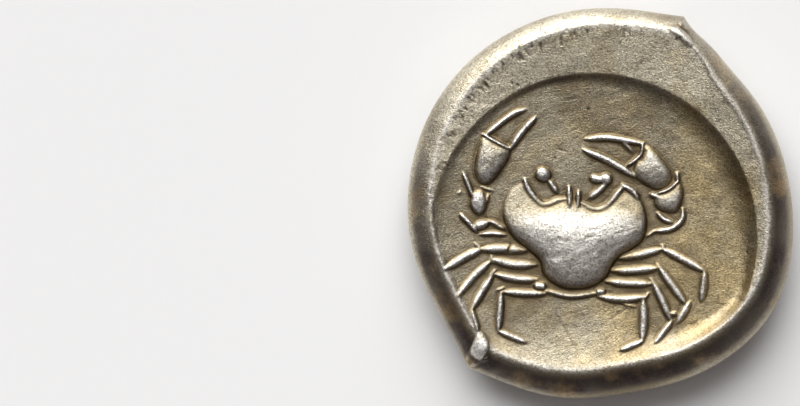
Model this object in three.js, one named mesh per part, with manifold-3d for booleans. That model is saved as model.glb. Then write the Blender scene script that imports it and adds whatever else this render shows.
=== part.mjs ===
// An archaic Greek silver didrachm, struck by hand on a cast flan, in millimetres.
// It lies flat with its crab side up and its cock side down, and rests on the worn high points of the cock.
// The flan is a thick, uneven disc with a round edge and the stubs of its two casting sprues.
// The crab stands in a round sunk field, the cock on a flat one. All of it is one piece of silver.

import * as THREE from "three";
import { mergeVertices } from "three/addons/utils/BufferGeometryUtils.js";
import Module from "manifold-3d";

// Flan: the mean diameter, and heights above the cock side's field.
const flanDiameter = 21.0;
const floorThickness = 2.05;
const edgeHeight = 1.2;
const backShoulderWidth = 0.95;

// Rim round the crab side: its crest over the sunk field, and the width of its outer shoulder.
// Both are greatest towards one bearing, because the two dies met a little out of true.
// Inwards from its crest the rim loses rimFall of its height in each millimetre.
const rimHeight = 0.62;
const rimHeightLean = [0.3, 25];
const shoulderWidth = 1.15;
const shoulderWidthLean = [0.45, 280];
const rimFall = 0.26;

// Sunk round field on the crab side. Its lower left runs off the flan.
const incuseDiameter = 17.6;
const incuseCentre = [-0.37, -1.68];
const wallSlope = 1.45;
const crestWidth = 0.12;

// Crab, from the tip of one outer leg to the other, and the heights of its relief.
const crabSpan = 13.9;
const crabCentre = [-1.31, -1.82];
const shellRelief = 0.72;
const clawRelief = 0.42;
const legRelief = 0.26;
const lineRelief = 0.18;
const shellRim = 0.36;

// Cock, from its comb to its feet, the turn between the two dies, and the heights of its relief.
const cockHeight = 16.4;
const cockCentre = [-1.88, -0.89];
const dieTurn = 80;
const bodyRelief = 0.8;
const wearDepth = 0.1;
const tailRelief = 0.72;
const shankRelief = 0.2;
const markRelief = 0.12;

// How deep the root of a raised piece runs into the flan, and the number of steps round the flan.
const rootDepth = 0.3;
const flanBearings = 108;

const radians = THREE.MathUtils.degToRad;
const fieldLevel = bodyRelief - wearDepth;
const floorLevel = fieldLevel + floorThickness;
const edgeLevel = fieldLevel + edgeHeight;

const wasm = await Module();
wasm.setup();

function solidOf(geometry) {
  geometry.deleteAttribute("normal");
  geometry.deleteAttribute("uv");
  const merged = mergeVertices(geometry, 1e-5);
  return new wasm.Manifold(
    new wasm.Mesh({
      numProp: 3,
      vertProperties: merged.attributes.position.array,
      triVerts: new Uint32Array(merged.index.array),
    }),
  );
}

// A body turned from a profile that starts and ends on its axis. place() says where each of its points goes.
function turned(profile, sides, place) {
  const stations = profile.map(([radius, height]) => new THREE.Vector2(radius, height));
  const geometry = new THREE.LatheGeometry(stations, sides);
  const position = geometry.attributes.position;
  for (let i = 0; i < position.count; i++) {
    const share = (Math.floor(i / stations.length) % sides) / sides;
    const station = i % stations.length;
    const at = place(share, stations[station].x, stations[station].y, station);
    position.setXYZ(i, at.x, at.y, at.z);
  }
  return solidOf(geometry);
}

// Swells and flats that hammering left in the outline: bearing, rise as a share of the radius, and spread.
const outlineSwells = [
  [329, 0.064, 27],
  [277, -0.028, 17],
  [227, -0.068, 27],
  [136, 0.013, 28],
  [68, -0.035, 22],
  [56, 0.024, 8],
];
// Sprue stubs: bearing, rise as a share of the radius, and the spread on either side.
const sprueStubs = [
  [66, 0.124, 7.7, 31],
  [231, 0.162, 20, 26],
];
const outlineBase = 0.97;
// Away from the edge the stubs' corners are rounded off by this many degrees.
const stubBlunting = 6;

function bearingGap(from, to) {
  return THREE.MathUtils.euclideanModulo(to - from + 180, 360) - 180;
}

function leaning(mean, [lean, towards], bearing) {
  return mean + lean * Math.cos(radians(bearing - towards));
}

// The outline's distance from the flan's axis.
function flanRadius(bearing, blunting = 0) {
  let share = outlineBase;
  for (const [at, rise, spread] of outlineSwells) {
    share += rise * Math.exp(-((bearingGap(at, bearing) / spread) ** 2));
  }
  for (const [at, rise, before, after] of sprueStubs) {
    const gap = bearingGap(at, bearing);
    const reach = Math.hypot(gap, blunting) - blunting;
    share += rise * Math.exp(-reach / (gap < 0 ? before : after));
  }
  return (share * flanDiameter) / 2;
}

function atBearing(bearing, distance, level) {
  const angle = radians(bearing);
  return new THREE.Vector3(distance * Math.cos(angle), distance * Math.sin(angle), level);
}

// Points of the flan's section on one bearing, each a distance from its axis and a level.
// On a round shoulder, turn is 0 where it leaves its face and 90 at the flan's widest line.
function shoulder(bearing, turn, width, faceLevel) {
  const out = Math.sin(radians(turn));
  const corner = THREE.MathUtils.lerp(flanRadius(bearing, stubBlunting), flanRadius(bearing), out);
  const level = edgeLevel + (faceLevel - edgeLevel) * Math.cos(radians(turn));
  return [corner - width * (1 - out), level];
}

function backShoulder(bearing, turn) {
  return shoulder(bearing, turn, backShoulderWidth, fieldLevel);
}

function rimShoulder(bearing, turn) {
  const crest = floorLevel + leaning(rimHeight, rimHeightLean, bearing);
  return shoulder(bearing, turn, leaning(shoulderWidth, shoulderWidthLean, bearing), crest);
}

// The rim ends at the lip of the sunk field, or just inside its crest where that field runs off the flan.
function lip(bearing) {
  const [crestRadius, crest] = rimShoulder(bearing, 0);
  const [x, y] = incuseCentre;
  const along = x * Math.cos(radians(bearing)) + y * Math.sin(radians(bearing));
  const reach = along + Math.sqrt((incuseDiameter / 2) ** 2 - x * x - y * y + along * along);
  const radius = Math.min(reach, crestRadius - crestWidth);
  const kept = Math.exp(-rimFall * (crestRadius - radius));
  return [radius, floorLevel + (crest - floorLevel) * kept];
}

// On the hollow wall of the sunk field, turn is 0 at its foot and 90 at its lip.
function wall(bearing, turn) {
  const [lipRadius, lipLevel] = lip(bearing);
  const rise = lipLevel - floorLevel;
  const radius = lipRadius - wallSlope * rise * (1 - Math.sin(radians(turn)));
  return [radius, floorLevel + rise * (1 - Math.cos(radians(turn)))];
}

// The whole section runs from the middle of the cock side, round the edge, to the middle of the crab side.
function makeFlan() {
  const section = [
    () => [0, fieldLevel],
    ...[0, 32, 62].map((turn) => (bearing) => backShoulder(bearing, turn)),
    ...[90, 62, 32, 0].map((turn) => (bearing) => rimShoulder(bearing, turn)),
    lip,
    ...[66, 34, 0].map((turn) => (bearing) => wall(bearing, turn)),
    () => [0, floorLevel],
  ];
  const last = section.length - 1;
  const profile = section.map((_, k) => [k % last ? flanDiameter / 2 : 0, k]);
  return turned(profile, flanBearings, (share, radius, height, k) => {
    return atBearing(360 * share, ...section[k](360 * share));
  });
}

// What a die strikes ends on the flan's shoulder. A figure that runs further is cut off there.
const struckTurn = 32;

function struckArea(edge, low, high) {
  const profile = [[0, low], [1, low], [1, high], [0, high]];
  return turned(profile, flanBearings, (share, out, level) => {
    const [reach] = edge(360 * share, struckTurn);
    return atBearing(360 * share, out * reach, level);
  });
}

// Each figure is drawn on a grid of hundredths of its own size.
// A face's place() puts a grid point at a height above that face's field.
const crabFace = {
  unit: crabSpan / 100,
  place(x, y, height) {
    return new THREE.Vector3(
      crabCentre[0] + x * this.unit,
      crabCentre[1] + y * this.unit,
      floorLevel + height,
    );
  },
};

// The cock side looks down, and its picture is turned by dieTurn from the crab's.
const cockFace = {
  unit: cockHeight / 100,
  place(x, y, height) {
    const right = cockCentre[0] + x * this.unit;
    const up = cockCentre[1] + y * this.unit;
    const cos = Math.cos(radians(dieTurn));
    const sin = Math.sin(radians(dieTurn));
    return new THREE.Vector3(right * cos + up * sin, right * sin - up * cos, fieldLevel - height);
  },
};

const spindleEnds = [
  [0, 0],
  [0.08, 0.6],
  [0.35, 0.95],
  [0.65, 1],
  [0.92, 0.62],
  [1, 0],
];

// A raised rib along grid points: width across in grid units, height in millimetres.
// Towards its ends it narrows faster than it sinks.
function rib(face, points, width, height, ends = spindleEnds, sides = 8) {
  const path = new THREE.CatmullRomCurve3(points.map(([x, y]) => new THREE.Vector3(x, y, 0)));
  const profile = ends.map(([along, swell]) => [swell, along]);
  return turned(profile, sides, (share, swell, along) => {
    const at = path.getPointAt(along);
    const way = path.getTangentAt(along);
    const angle = 2 * Math.PI * share;
    const across = (Math.cos(angle) * swell * width) / 2;
    const up = Math.max(Math.sin(angle) * Math.sqrt(swell) * height, -rootDepth);
    return face.place(at.x - way.y * across, at.y + way.x * across, up);
  });
}

const domeProfile = [
  [0, -1],
  [1, -1],
  [1, 0.15],
  [0.9, 0.55],
  [0.66, 0.84],
  [0.34, 0.97],
  [0, 1],
];

// A raised boss inside a closed outline of grid points, given clockwise, highest over its heart.
function boss(face, outline, heart, height, sides = 20) {
  const middle = new THREE.Vector3(heart[0], heart[1], 0);
  const corners = outline.map(([x, y]) => new THREE.Vector3(x, y, 0));
  const edge = new THREE.CatmullRomCurve3(corners, true);
  const reach = corners.reduce((sum, at) => sum + at.distanceTo(middle), 0) / corners.length;
  return turned(domeProfile, sides, (share, spread, rise) => {
    const arm = edge.getPointAt(1 - share).sub(middle);
    // Higher up, the boss is rounder than its outline.
    arm.setLength(spread * THREE.MathUtils.lerp(reach, arm.length(), Math.sqrt(spread)));
    const at = arm.add(middle);
    return face.place(at.x, at.y, rise < 0 ? -rootDepth : rise * height);
  });
}

function joined(solids) {
  return solids.reduce((whole, solid) => whole.add(solid));
}

// Legs of the crab: hip, knee, ankle and tip, where the coin's edge hasn't cut them off.
const legs = [
  [[-17, -4.3], [-37, -2.7], [-49.9, -10.6]],
  [[-16, -9.9], [-32.8, -8], [-45.1, -21.3]],
  [[-16.3, -15.1], [-31.6, -13.6], [-40, -26.6], [-36.8, -35.5]],
  [[-11, -20.7], [-28.3, -19.9], [-29.9, -35.1], [-19.5, -39.3]],
  [[16.9, -7.1], [33.4, -3.4], [49.9, -12], [48.9, -23.1]],
  [[14.6, -11.8], [31.8, -10.8], [43, -24.4], [39.6, -31.7]],
  [[12.3, -16.1], [29.5, -16.6], [37, -31.1], [31.1, -39.3]],
  [[9.6, -21.9], [27, -22], [26.1, -38.9], [17.5, -42.2]],
];
const legWidths = [3.3, 3, 2.5];

function makeCrabLegs() {
  const parts = [];
  for (const joints of legs) {
    for (let k = 1; k < joints.length; k++) {
      parts.push(rib(crabFace, [joints[k - 1], joints[k]], legWidths[k - 1], legRelief));
    }
  }
  return parts;
}

const shellOutline = [
  [0, 13.5], [7, 11], [13, 12], [19, 15.5], [24.5, 14], [27.2, 7.5], [24.5, -1], [16, -7.5],
  [12.6, -13.5], [7.4, -17.4], [0, -18.8], [-7, -17.4], [-12.8, -12.5], [-14.5, -6.5],
  [-23.5, 0.5], [-27.8, 9], [-25.5, 17], [-19, 18], [-13, 13.5], [-6, 14.4],
];

function makeCrabShell() {
  return [
    boss(crabFace, shellOutline, [0, -1], shellRelief, 48),
    rib(crabFace, [[-22.5, 11], [-19.2, 23.8]], 8, clawRelief),
    rib(crabFace, [[22, 9], [18.3, 21]], 8, clawRelief),
    rib(crabFace, [[-19.1, 22.6], [-17.4, 18.6], [-12.5, 13.6], [-6.5, 14.8], [-3, 15.4]], 1.8, shellRim),
    rib(crabFace, [[2, 13.8], [7, 11.6], [12, 12.8], [16.8, 18], [18.2, 20.4]], 1.8, shellRim),
    rib(crabFace, [[-2.4, 20.4], [-2.2, 10]], 2, lineRelief * 2),
    rib(crabFace, [[1.1, 18.5], [0.9, 11]], 1.6, lineRelief * 2),
    rib(crabFace, [[-12, -19.6], [-1.5, -21.8], [9.4, -20.2]], 2, lineRelief),
    rib(crabFace, [[-16, -17.6], [-11.2, -18.2]], 3.6, legRelief),
    rib(crabFace, [[7.6, -20.7], [11.6, -19.4]], 2.6, legRelief),
  ];
}

function makeCrabEyes() {
  return [
    rib(crabFace, [[-15.4, 25.4], [-9.6, 25.4]], 5.4, clawRelief),
    rib(crabFace, [[-10.4, 23.4], [-7.2, 18]], 1.8, lineRelief),
    rib(crabFace, [[8.4, 23.6], [14, 23.4]], 4.6, clawRelief),
    rib(crabFace, [[12.6, 23.6], [10.6, 20.4], [4.8, 15.8]], 2.4, legRelief),
  ];
}

const leftPalm = [
  [-35.4, 40.1], [-30, 37], [-25.4, 34.5], [-26.4, 31], [-29, 26.8], [-33.1, 22.2],
  [-37, 22.4], [-38.8, 28], [-37.4, 35],
];
const rightPalm = [
  [26.6, 37], [32.2, 33], [36.7, 26.8], [36.6, 22.4], [33.4, 19.8], [28.6, 20.8],
  [22.6, 25.2], [23, 29], [25.2, 33],
];
const leftWrist = [[-40.6, 18.4], [-35, 20], [-33.6, 14.6], [-35.4, 10.2], [-39.6, 14]];
const rightWrist = [[39.8, 23], [41.6, 17], [38.8, 11], [32.4, 12.4], [31.6, 18]];

function makeCrabClaws() {
  return [
    boss(crabFace, leftPalm, [-33, 30], clawRelief, 18),
    rib(crabFace, [[-34.6, 40.2], [-28, 45.8], [-19, 50.4]], 2.3, legRelief),
    rib(crabFace, [[-25.8, 34.8], [-20.5, 42], [-15, 47.8]], 2.5, legRelief),
    boss(crabFace, leftWrist, [-37, 15], clawRelief, 14),
    rib(crabFace, [[-39.4, 16.6], [-43.2, 26]], 1.8, legRelief),
    rib(crabFace, [[-44.4, 10], [-38, 3.2]], 2, legRelief),
    rib(crabFace, [[-38.4, 4.4], [-33, 7.2], [-27, 4]], 3.2, legRelief),
    rib(crabFace, [[-36.4, 2.2], [-27, 2]], 1.8, legRelief),
    boss(crabFace, rightPalm, [31, 27], clawRelief, 18),
    rib(crabFace, [[3.8, 39], [13, 39.4], [26, 37.2]], 2.5, legRelief),
    rib(crabFace, [[2.8, 34.9], [13.2, 30.4], [23, 24.6]], 2.7, legRelief),
    rib(crabFace, [[26, 37.4], [25.2, 33], [19.4, 28.6]], 1.5, legRelief),
    boss(crabFace, rightWrist, [37, 16], clawRelief, 14),
    rib(crabFace, [[39.2, 26.4], [39, 22], [31.2, 17.8]], 1.6, legRelief),
    rib(crabFace, [[28.6, 17.9], [34.6, 14.8]], 2.4, legRelief),
    rib(crabFace, [[31.8, 10.6], [35, 7], [40.4, 8]], 2.2, legRelief),
    rib(crabFace, [[41.2, 12.4], [40.6, 7.4], [36.9, 4.2], [30.4, 3.4]], 2, legRelief),
    rib(crabFace, [[31, 4.4], [27.2, 1]], 1.4, legRelief),
  ];
}

// The body's ribs run full and blunt, unlike the crab's pointed legs.
const neckEnds = [
  [0, 0], [0.02, 0.25], [0.14, 0.46], [0.3, 0.45], [0.44, 0.62],
  [0.6, 0.84], [0.8, 1], [0.94, 0.8], [1, 0],
];
const featherEnds = [[0, 0], [0.06, 0.5], [0.3, 0.85], [0.62, 1], [0.9, 0.9], [1, 0]];
const thighEnds = [[0, 0], [0.1, 0.9], [0.5, 0.6], [0.92, 0.3], [1, 0]];

const breastOutline = [
  [-36.8, 14], [-33.4, 19], [-26, 20.5], [-19, 19], [-14, 16], [-3, 11.5], [6, 6], [6, -5],
  [-4, -15], [-14.5, -18], [-22.5, -10.5], [-30, -3], [-36, 5.5],
];
const wingOutline = [
  [-29.4, 3.6], [-24.5, 9], [-16, 8], [-7, 1], [2.8, -8], [12, -15.6], [20.6, -24],
  [20.4, -28.4], [16.2, -36.4], [10.4, -41.6], [2.4, -34], [-6.8, -25.3], [-14.2, -16.5], [-23, -6],
];
const saddleOutline = [
  [-8, 12], [-3, 12.6], [2, 8.4], [8, 10], [14, 12.4], [20, 9], [20, -1], [13, -4.6], [4, -5], [-6, 0],
];

function makeCockBody() {
  const neck = [[-23.5, 53.6], [-22.6, 46], [-20.8, 39], [-20.8, 34], [-22.8, 27], [-24, 20], [-24.6, 10]];
  return [
    rib(cockFace, neck, 17, bodyRelief, neckEnds, 14),
    boss(cockFace, breastOutline, [-16, 4], bodyRelief, 30),
    rib(cockFace, [[-15.4, 38], [-13.4, 29], [-13.2, 17]], 3.6, bodyRelief * 0.55),
    rib(cockFace, [[-25.6, 53], [-20.6, 46], [-18.6, 38]], 4.4, bodyRelief * 0.7),
    rib(cockFace, [[-27.2, 52.6], [-30.6, 48.6], [-34, 43]], 2.4, legRelief),
    boss(cockFace, saddleOutline, [4, 4], bodyRelief * 0.8, 20),
  ];
}

// Wing: a full shoulder over long flight feathers, which lie side by side and end in a slanting row.
const wingFeathers = 6;

function makeCockWing() {
  const parts = [boss(cockFace, wingOutline, [-6, -14], bodyRelief * 0.86, 32)];
  for (let k = 0; k < wingFeathers; k++) {
    const out = k / (wingFeathers - 1) - 0.5;
    const start = [-15 + 9 * out, -8 + 8 * out];
    const end = [17 + 8 * out, -34.2 + 14.6 * out];
    const rise = bodyRelief * (1 - 0.5 * out * out);
    parts.push(rib(cockFace, [start, end], 3.8, rise, featherEnds, 8));
  }
  return parts;
}

// Tail: wavy plumes that fan from the saddle to a nearly upright end. The top one is the broadest.
const plumes = [
  { from: [12, 12.4], to: [46.6, 23], sway: 2.4, width: 9.4 },
  { from: [19, 13], to: [43.6, 14.6], sway: -2.4, width: 3.6 },
  { from: [17, 9.6], to: [43.2, 9.4], sway: -1.8, width: 3.8 },
  { from: [17, 6], to: [43, 4.2], sway: -1, width: 4 },
  { from: [17, 2.6], to: [42.6, -1], sway: 1.2, width: 3.8 },
  { from: [18, -1], to: [40, -6], sway: 1.4, width: 3.6 },
  { from: [18, -4.6], to: [36.6, -10.6], sway: 1, width: 3.4 },
  { from: [23, -9.6], to: [32.8, -15], sway: 0.6, width: 2.8 },
];

function makeCockTail() {
  const parts = plumes.map(({ from, to, sway, width }) => {
    const near = [from[0] * 0.7 + to[0] * 0.3, from[1] * 0.7 + to[1] * 0.3 + sway];
    const far = [from[0] * 0.35 + to[0] * 0.65, from[1] * 0.35 + to[1] * 0.65 - sway * 0.6];
    return rib(cockFace, [from, near, far, to], width, tailRelief, featherEnds, 8);
  });
  const fan = [[14, 13], [27, 20], [44, 22], [41, 3], [36, -9], [25, -8], [15, -3]];
  parts.push(boss(cockFace, fan, [28, 7], tailRelief * 0.68, 20));
  return parts;
}

function makeCockLegs() {
  return [
    rib(cockFace, [[-14.6, -15], [-14.4, -27], [-12.6, -38]], 8.6, tailRelief * 0.6, thighEnds),
    rib(cockFace, [[-6, -22], [-5, -31], [-3.6, -43]], 8, tailRelief * 0.6, thighEnds),
    rib(cockFace, [[-11.4, -36.4], [-13.6, -43.4]], 2.2, shankRelief),
    rib(cockFace, [[-2.4, -34], [-4.4, -43.4]], 2.2, shankRelief),
  ];
}

// Where letters once stood, only short strokes are left at the edge.
function makeStrokes() {
  const strokes = [
    [[-45, 19.8], [-42.8, 19.8]],
    [[-45.4, 17.2], [-43.4, 16.6]],
    [[-46.6, 11.6], [-44.4, 9.6]],
  ];
  return strokes.map((stroke) => rib(cockFace, stroke, 1.2, markRelief));
}

function makeCoin() {
  const crab = joined([...makeCrabShell(), ...makeCrabEyes(), ...makeCrabClaws(), ...makeCrabLegs()]);
  const cock = joined([
    ...makeCockBody(),
    ...makeCockWing(),
    ...makeCockTail(),
    ...makeCockLegs(),
    ...makeStrokes(),
  ]);
  // The cock's area starts at the level that its highest points are worn down to.
  const crabArea = struckArea(rimShoulder, floorLevel - rootDepth, floorLevel + shellRelief);
  const cockArea = struckArea(backShoulder, 0, fieldLevel + rootDepth);
  return makeFlan().add(crab.intersect(crabArea)).add(cock.intersect(cockArea));
}

function geometryOf(solid) {
  const { vertProperties, triVerts } = solid.getMesh();
  const geometry = new THREE.BufferGeometry();
  geometry.setAttribute("position", new THREE.BufferAttribute(vertProperties, 3));
  geometry.setIndex(new THREE.BufferAttribute(triVerts, 1));
  geometry.computeVertexNormals();
  return geometry;
}

// The origin is under the middle of the whole coin, on the plane that it rests on.
function centred(geometry) {
  const middle = new THREE.Box3().setFromBufferAttribute(geometry.attributes.position);
  const { x, y } = middle.getCenter(new THREE.Vector3());
  return geometry.translate(-x, -y, 0);
}

const silver = new THREE.MeshStandardMaterial({ color: 0xa39a82, roughness: 0.38, metalness: 1 });

const didrachm = new THREE.Group();
const coin = new THREE.Mesh(centred(geometryOf(makeCoin())), silver);
coin.name = "coin";
didrachm.add(coin);

export default didrachm;
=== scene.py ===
import math

import bpy
import numpy as np
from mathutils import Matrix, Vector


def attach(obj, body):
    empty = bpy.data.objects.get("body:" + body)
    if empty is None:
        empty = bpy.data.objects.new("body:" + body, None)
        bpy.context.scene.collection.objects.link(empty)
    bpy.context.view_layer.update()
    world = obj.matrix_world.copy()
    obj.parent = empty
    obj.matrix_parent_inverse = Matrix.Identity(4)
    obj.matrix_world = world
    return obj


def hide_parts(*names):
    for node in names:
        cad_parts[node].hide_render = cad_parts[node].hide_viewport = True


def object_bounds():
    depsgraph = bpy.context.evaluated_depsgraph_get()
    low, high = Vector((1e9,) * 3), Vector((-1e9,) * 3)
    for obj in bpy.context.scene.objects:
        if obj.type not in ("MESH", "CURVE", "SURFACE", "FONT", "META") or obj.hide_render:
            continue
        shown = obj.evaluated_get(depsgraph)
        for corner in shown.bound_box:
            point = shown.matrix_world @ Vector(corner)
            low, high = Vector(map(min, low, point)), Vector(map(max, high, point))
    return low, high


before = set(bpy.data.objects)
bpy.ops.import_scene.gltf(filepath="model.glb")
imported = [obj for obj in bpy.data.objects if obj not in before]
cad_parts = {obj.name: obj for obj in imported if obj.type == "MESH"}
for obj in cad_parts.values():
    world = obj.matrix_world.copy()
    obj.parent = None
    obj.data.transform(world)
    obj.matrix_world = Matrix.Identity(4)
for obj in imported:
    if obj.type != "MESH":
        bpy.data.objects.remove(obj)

cad_low, cad_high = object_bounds()

# The blank, or flan: a lump of silver cast in a two-part mould, then struck hot between two dies.
# Its edge is full and round, and the stubs of the two sprues that it was cast through still stick out.
# Lengths on the coin are in millimetres, bearings in degrees from +X.
MM = 0.001
FLAN_RADIUS = 10.5
FIELD_THICKNESS = 2.05
EDGE_HEIGHT = 1.2
FIELD_LEVEL = 0.7
FLOOR_LEVEL = FIELD_LEVEL + FIELD_THICKNESS
EDGE_LEVEL = FIELD_LEVEL + EDGE_HEIGHT
BACK_SHOULDER = 0.95
BACK_CONVEXITY = 0.05

# The outline's reach, in shares of the radius. A swell has its bearing, rise and breadth. A stub has its
# bearing and rise, and the degrees in which it falls away before and after it.
OUTLINE_BASE = 0.97
OUTLINE_SWELLS = [
    (329, 0.064, 27),
    (277, -0.028, 17),
    (227, -0.068, 27),
    (136, 0.013, 28),
    (68, -0.035, 22),
    (56, 0.024, 8),
]
SPRUE_STUBS = [(66, 0.124, 7.7, 31), (231, 0.162, 20, 26)]
STUB_BLUNTING = 6

# The rim, and the round hollow that the punch left. A value of three numbers leans: it has a mean, how far
# it swings from that, and the bearing where it is greatest.
RIM_HEIGHT = (0.62, 0.3, 25)
RIM_SHOULDER = (1.3, 0.3, 280)
RIM_FALL = 0.13
CREST_CREASE = (25, 10, 270)
CREST_WIDTH = 0.12
INCUSE_RADIUS = 8.8
INCUSE_CENTRE = (-0.37, -1.68)
DISH_RISE = (0.13, 0.1, 100)

# The punch went in a little askew, so the wall round its hollow is steep in places and slow in others.
WALL_BEARINGS = [0, 30, 60, 90, 112, 135, 160, 187, 225, 270, 300, 330, 360]
WALL_WIDTHS = [1.8, 1.5, 1.3, 0.8, 0.35, 0.5, 0.8, 1.5, 1.6, 4.0, 1.2, 0.7, 1.8]
WALL_POWER = 2.6


def bearing_gap(start, bearing):
    return (bearing - start + 180) % 360 - 180


def leaning(mean, lean, towards, bearing):
    return mean + lean * np.cos(np.radians(bearing - towards))


def flan_reach(bearing, blunting=0.0):
    """The outline's distance from the flan's axis, with its stubs sharp or rounded off by some degrees."""
    share = OUTLINE_BASE + 0 * bearing
    for start, rise, spread in OUTLINE_SWELLS:
        share = share + rise * np.exp(-((bearing_gap(start, bearing) / spread) ** 2))
    for start, rise, before, after in SPRUE_STUBS:
        gap = bearing_gap(start, bearing)
        reach = np.hypot(gap, blunting) - blunting
        share = share + rise * np.exp(-reach / np.where(gap < 0, before, after))
    return share * FLAN_RADIUS


def shoulder(bearing, turn, width, face_level, crease=0.0):
    """A round shoulder: turn is 0 where it leaves its face and 90 at the coin's widest line.

    Its first degrees, up to the crease, are left off, so that it meets its face in an edge.
    """
    turn = np.radians(crease + turn * (90 - crease) / 90)
    crease = np.radians(crease)
    out = (np.sin(turn) - np.sin(crease)) / (1 - np.sin(crease))
    corner = flan_reach(bearing, STUB_BLUNTING) * (1 - out) + flan_reach(bearing) * out
    level = EDGE_LEVEL + (face_level - EDGE_LEVEL) * np.cos(turn) / np.cos(crease)
    return corner - width * (1 - out), level


def rim_form(bearing, distance):
    """Level of the crab side inside the crest: the rim's top, the hollow wall and the dished floor."""
    crest_level = FLOOR_LEVEL + leaning(*RIM_HEIGHT, bearing)
    crest, _ = shoulder(bearing, 0, leaning(*RIM_SHOULDER, bearing), crest_level)
    x, y = INCUSE_CENTRE
    along = x * np.cos(np.radians(bearing)) + y * np.sin(np.radians(bearing))
    reach = along + np.sqrt(INCUSE_RADIUS**2 - x * x - y * y + along * along)
    lip = np.minimum(reach, crest - CREST_WIDTH)
    rim = FLOOR_LEVEL + (crest_level - FLOOR_LEVEL) * np.exp(-RIM_FALL * (crest - distance))
    lip_rise = (crest_level - FLOOR_LEVEL) * np.exp(-RIM_FALL * (crest - lip))
    dish = np.minimum(leaning(*DISH_RISE, bearing), lip_rise)
    width = np.interp(bearing % 360, WALL_BEARINGS, WALL_WIDTHS)
    up_wall = np.clip(1 - (lip - distance) / width, 0, 1)
    wall = dish * np.minimum(distance / lip, 1) ** 2 + (lip_rise - dish) * up_wall**WALL_POWER
    return np.where(distance > lip, rim, FLOOR_LEVEL + wall)


# The dies: each picture was cut into the face of a bronze punch, and the blow raised it on the coin.
# A die is a square sheet of heights in millimetres over its face, drawn in hundredths of its figure's size.
DIE_STEP = 0.03
DIE_HALF = 12.0
CUT_FADE = 0.15
die_line = np.arange(-DIE_HALF, DIE_HALF, DIE_STEP)


def soften(sheet, reach):
    """The sheet with its forms rounded over a distance in millimetres."""
    across = np.fft.rfftfreq(sheet.shape[1], DIE_STEP)
    along = np.fft.fftfreq(sheet.shape[0], DIE_STEP)
    falloff = np.exp(-2 * (math.pi * reach) ** 2 * (along[:, None] ** 2 + across[None] ** 2))
    return np.fft.irfft2(np.fft.rfft2(sheet) * falloff, s=sheet.shape)


def curve_through(points, closed=False, steps=8):
    """A smooth line through the points, and how far along it each point lies, from 0 to 1."""
    p = np.array(points, float)
    count = len(p) if closed else len(p) - 1
    if count == 1:
        return p, np.array([0.0, 1.0])
    before = np.roll(p, 1, 0) if closed else np.vstack([2 * p[0] - p[1], p[:-1]])
    after = np.roll(p, -1, 0) if closed else np.vstack([p[1:], 2 * p[-1] - p[-2]])
    beyond = np.roll(p, -2, 0) if closed else np.vstack([after[1:], after[-1:]])
    line = []
    for k in range(count):
        for t in np.arange(steps) / steps:
            slope = after[k] - before[k]
            bend = 2 * before[k] - 5 * p[k] + 4 * after[k] - beyond[k]
            twist = 3 * p[k] - before[k] - 3 * after[k] + beyond[k]
            line.append(0.5 * (2 * p[k] + slope * t + bend * t**2 + twist * t**3))
    line.append(p[0] if closed else p[-1])
    line = np.array(line)
    run = np.concatenate([[0], np.cumsum(np.hypot(*np.diff(line, axis=0).T))])
    return line, run[::steps] / run[-1]


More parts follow.
